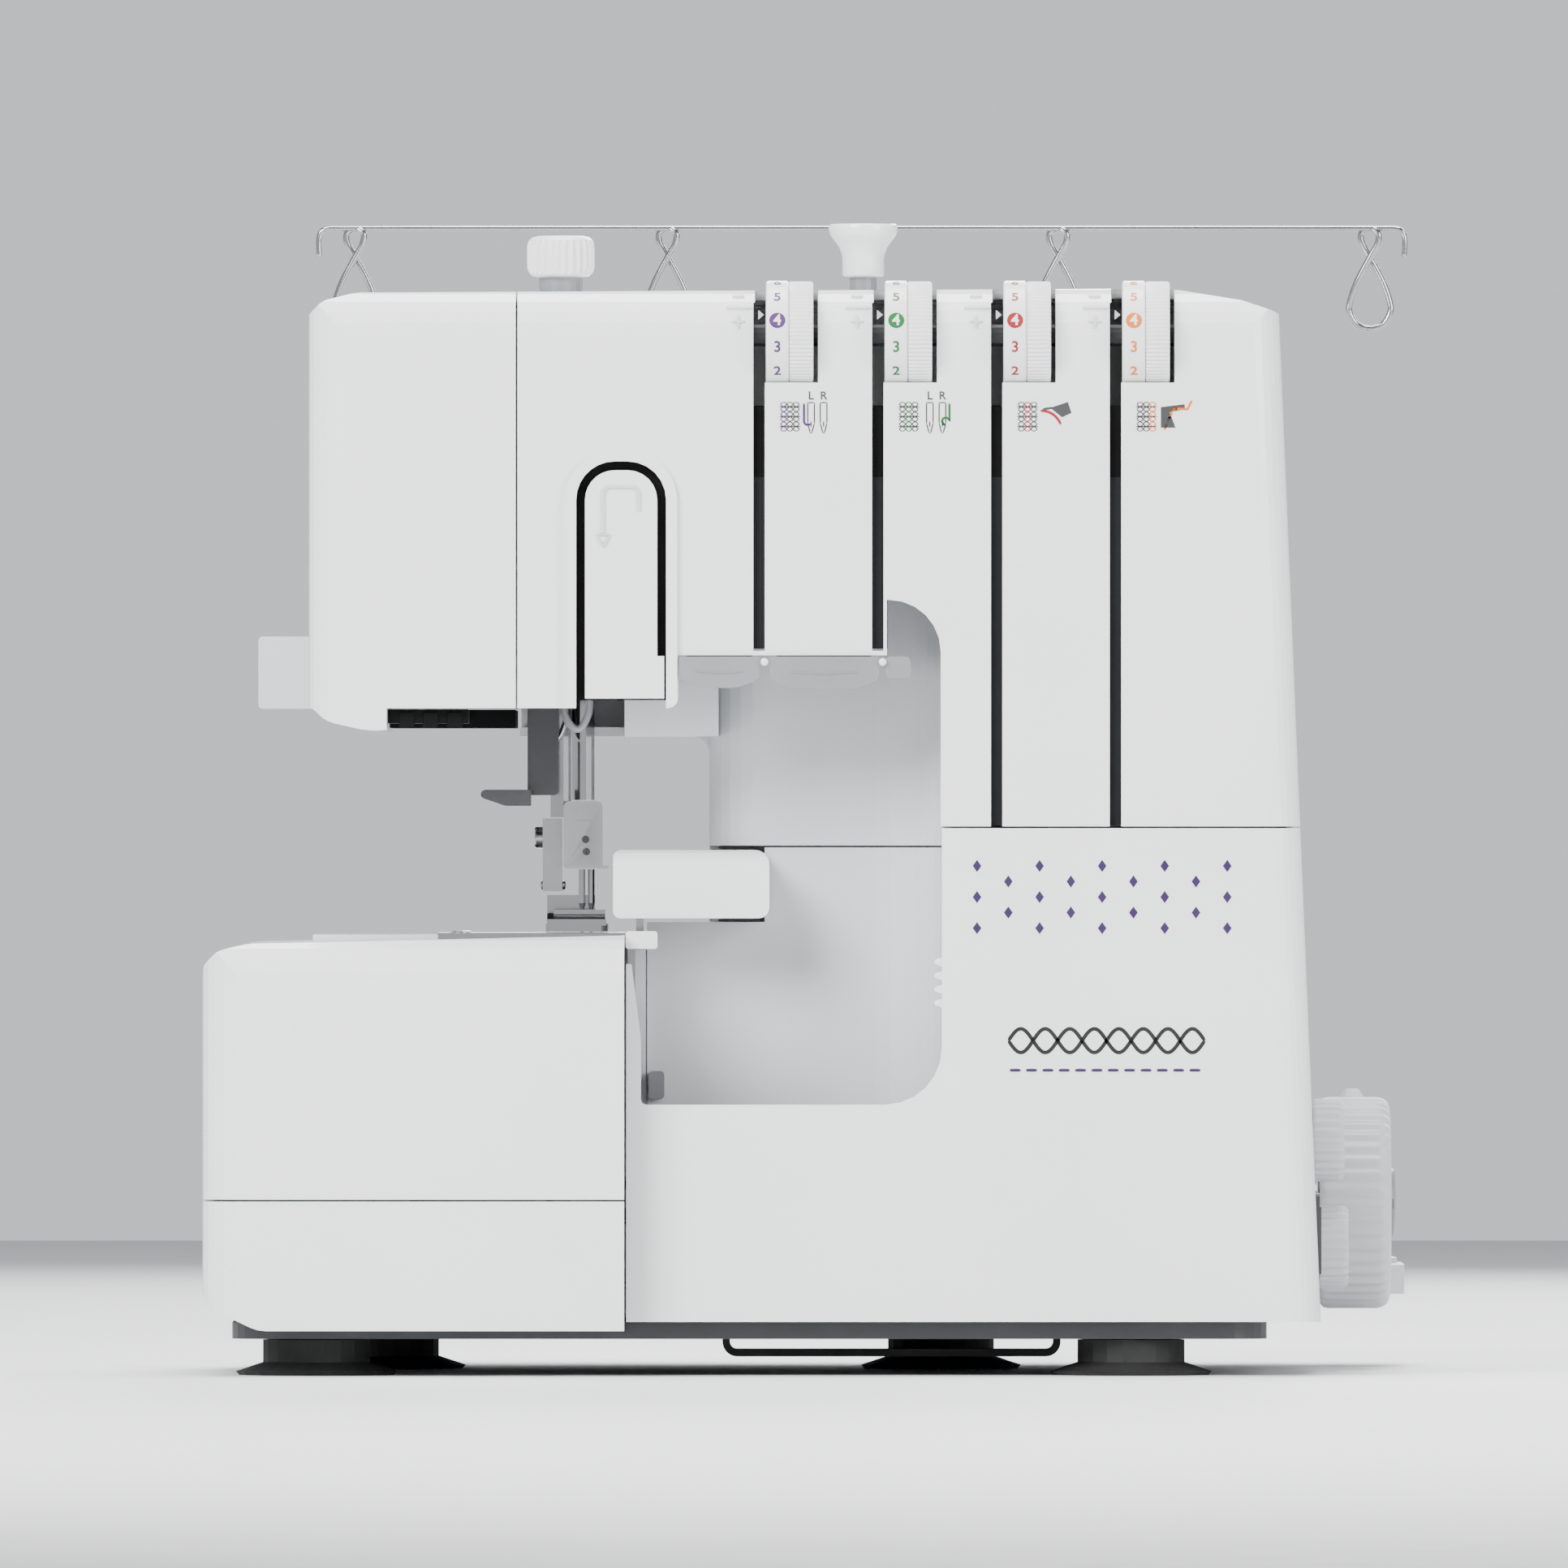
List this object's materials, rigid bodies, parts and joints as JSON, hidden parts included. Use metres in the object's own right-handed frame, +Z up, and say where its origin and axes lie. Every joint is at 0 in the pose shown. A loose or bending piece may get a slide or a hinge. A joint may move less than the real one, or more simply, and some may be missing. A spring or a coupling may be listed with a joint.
{
  "type": "serger overlock machine",
  "caption": "Household overlock sewing machine with thread tension dials, telescopic thread guide, swing-out cloth plate and fold-down looper cover",
  "frame": {"origin": "on the table under the middle of the machine's bounding box", "axes": "+X to the operator's right, +Y away from the operator, +Z up"},
  "size_m": [0.3282, 0.29, 0.3137],
  "materials": {
    "white_plastic": "glossy moulded",
    "grey_plastic": "satin moulded",
    "pale_grey_plastic": "satin moulded",
    "dark_plastic": "fine textured",
    "rubber": "matte",
    "steel": "ground",
    "chrome": "polished",
    "cast_aluminium": "sand cast",
    "motor_body": "painted black"
  },
  "bodies": {
    "root": {"base_plate": "dark_plastic", "foot_front_left": "rubber", "foot_front_right": "rubber", "foot_rear_left": "rubber", "foot_rear_right": "rubber", "under_rail": "dark_plastic", "front_cover": "white_plastic", "rear_cover": "white_plastic", "face_cover": "white_plastic", "base_left_cover": "white_plastic", "upper_throat_wall": "white_plastic", "lower_throat_wall": "white_plastic", "knife_cover": "white_plastic", "takeup_cover": "white_plastic", "cast_frame": "cast_aluminium", "tension_frame": "dark_plastic", "thread_guide_left": "grey_plastic", "thread_guide_middle": "grey_plastic", "thread_guide_right": "grey_plastic", "pressure_stem": "pale_grey_plastic", "mast_outer": "steel", "spool_stand": "pale_grey_plastic", "needle_plate": "chrome", "lower_knife": "steel", "looper_thread_guide": "grey_plastic", "drive_belt": "rubber", "motor": "motor_body", "power_inlet": "dark_plastic"},
    "needle_unit": {"needle_bar": "chrome", "needle_clamp": "steel", "needle_left": "chrome", "needle_right": "chrome"},
    "presser_unit": {"presser_bar": "chrome", "presser_ankle": "steel", "presser_foot": "chrome"},
    "presser_lever": {"presser_lever": "pale_grey_plastic"},
    "needle_threader": {"needle_threader": "grey_plastic"},
    "tension_dial_1": {"tension_dial_1": "white_plastic"},
    "tension_dial_2": {"tension_dial_2": "white_plastic"},
    "tension_dial_3": {"tension_dial_3": "white_plastic"},
    "tension_dial_4": {"tension_dial_4": "white_plastic"},
    "pressure_knob": {"pressure_knob": "white_plastic"},
    "mast_middle": {"mast_middle": "steel"},
    "mast_top": {"mast_inner": "steel", "guide_bar_holder": "white_plastic", "guide_bar": "steel"},
    "main_drive": {"main_shaft": "steel", "handwheel": "pale_grey_plastic"},
    "motor_pulley": {"motor_pulley": "steel"},
    "cover_carriage": {"cover_hinge_rod": "steel"},
    "looper_cover": {"looper_cover": "white_plastic"},
    "cloth_plate": {"cloth_plate": "white_plastic"},
    "feed_dog": {"feed_dog": "steel"},
    "lower_looper": {"lower_looper": "chrome"},
    "upper_looper": {"upper_looper": "chrome"},
    "upper_knife": {"upper_knife": "steel"},
    "hem_lever": {"hem_lever": "white_plastic"},
    "stitch_length_dial": {"stitch_length_dial": "pale_grey_plastic"},
    "differential_dial": {"differential_dial": "pale_grey_plastic"},
    "power_switch": {"power_switch": "dark_plastic"}
  },
  "joints": [
    {"name": "needle_stroke", "type": "slide", "parent": "root", "child": "needle_unit", "axis": [0, 0, 1], "range_m": [0, 0.027]},
    {"name": "lifter_turn", "type": "hinge", "parent": "root", "child": "presser_lever", "pos_m": [-0.0674, 0.0515, 0.2189], "axis": [0, 1, 0], "range_deg": [0, 31]},
    {"name": "presser_lift", "type": "slide", "parent": "root", "child": "presser_unit", "axis": [0, 0, 1], "range_m": [0, 0.0058]},
    {"name": "threader_press", "type": "slide", "parent": "root", "child": "needle_threader", "axis": [0, 0, -1], "range_m": [0, 0.01], "stiffness_N_per_m": 60, "springref_m": -0.004},
    {"name": "tension_turn_1", "type": "hinge", "parent": "root", "child": "tension_dial_1", "pos_m": [-0.01205, -0.1214, 0.2812], "axis": [1, 0, 0], "range_deg": [-112, 140]},
    {"name": "tension_turn_2", "type": "hinge", "parent": "root", "child": "tension_dial_2", "pos_m": [0.02005, -0.1214, 0.2812], "axis": [1, 0, 0], "range_deg": [-112, 140]},
    {"name": "tension_turn_3", "type": "hinge", "parent": "root", "child": "tension_dial_3", "pos_m": [0.05215, -0.1214, 0.2812], "axis": [1, 0, 0], "range_deg": [-112, 140]},
    {"name": "tension_turn_4", "type": "hinge", "parent": "root", "child": "tension_dial_4", "pos_m": [0.08425, -0.1214, 0.2812], "axis": [1, 0, 0], "range_deg": [-112, 140]},
    {"name": "pressure_turn", "type": "hinge", "parent": "root", "child": "pressure_knob", "pos_m": [-0.0678, -0.058, 0.2977], "axis": [0, 0, 1], "range_deg": [-360, 360]},
    {"name": "mast_lower_slide", "type": "slide", "parent": "root", "child": "mast_middle", "axis": [0, 0, 1], "range_m": [0, 0.085]},
    {"name": "mast_upper_slide", "type": "slide", "parent": "mast_middle", "child": "mast_top", "axis": [0, 0, 1], "range_m": [0, 0.085]},
    {"name": "handwheel_turn", "type": "hinge", "parent": "root", "child": "main_drive", "pos_m": [0.112, 0.01, 0.0455], "axis": [1, 0, 0], "continuous": true},
    {"name": "motor_turn", "type": "hinge", "parent": "root", "child": "motor_pulley", "pos_m": [0.112, -0.058, 0.05], "axis": [1, 0, 0], "continuous": true},
    {"name": "looper_cover_slide", "type": "slide", "parent": "root", "child": "cover_carriage", "axis": [1, 0, 0], "range_m": [0, 0.006]},
    {"name": "looper_cover_fold", "type": "hinge", "parent": "cover_carriage", "child": "looper_cover", "pos_m": [-0.0498, -0.1257, 0.019], "axis": [1, 0, 0], "range_deg": [0, 85]},
    {"name": "cloth_plate_swing", "type": "hinge", "parent": "root", "child": "cloth_plate", "pos_m": [-0.1602, -0.0245, 0.0475], "axis": [0, 0, 1], "range_deg": [-80, 0]},
    {"name": "feed_travel", "type": "slide", "parent": "root", "child": "feed_dog", "axis": [0, 1, 0], "range_m": [-0.002, 0.002]},
    {"name": "lower_looper_swing", "type": "hinge", "parent": "root", "child": "lower_looper", "pos_m": [-0.09, -0.067, 0.0616], "axis": [0, 1, 0], "range_deg": [0, 20]},
    {"name": "upper_looper_rise", "type": "slide", "parent": "root", "child": "upper_looper", "axis": [-0.5, 0, 0.866], "range_m": [0, 0.014]},
    {"name": "knife_stroke", "type": "slide", "parent": "root", "child": "upper_knife", "axis": [0, 0, 1], "range_m": [0, 0.005]},
    {"name": "hem_lever_slide", "type": "slide", "parent": "root", "child": "hem_lever", "axis": [0, -1, 0], "range_m": [0, 0.006]},
    {"name": "stitch_length_turn", "type": "hinge", "parent": "root", "child": "stitch_length_dial", "pos_m": [0.13649, -0.04, 0.063], "axis": [1, 0, 0], "range_deg": [-100, 100]},
    {"name": "differential_turn", "type": "hinge", "parent": "root", "child": "differential_dial", "pos_m": [0.1377, -0.04, 0.034], "axis": [1, 0, 0], "range_deg": [-60, 100]},
    {"name": "power_rock", "type": "hinge", "parent": "root", "child": "power_switch", "pos_m": [0.13491, -0.07, 0.036], "axis": [0, 1, 0], "range_deg": [-6, 6]}
  ],
  "couplings": [
    {"joint": "lifter_turn", "follows": "presser_lift", "rad_per_m": 90.276},
    {"joint": "motor_turn", "follows": "handwheel_turn", "ratio": 3.3333},
    {"joint": "lower_looper_swing", "follows": "needle_stroke", "rad_per_m": 12.799},
    {"joint": "upper_looper_rise", "follows": "needle_stroke", "ratio": 0.51111},
    {"joint": "knife_stroke", "follows": "needle_stroke", "ratio": 0.18148},
    {"joint": "feed_travel", "follows": "needle_stroke", "ratio": 0.07037}
  ]
}
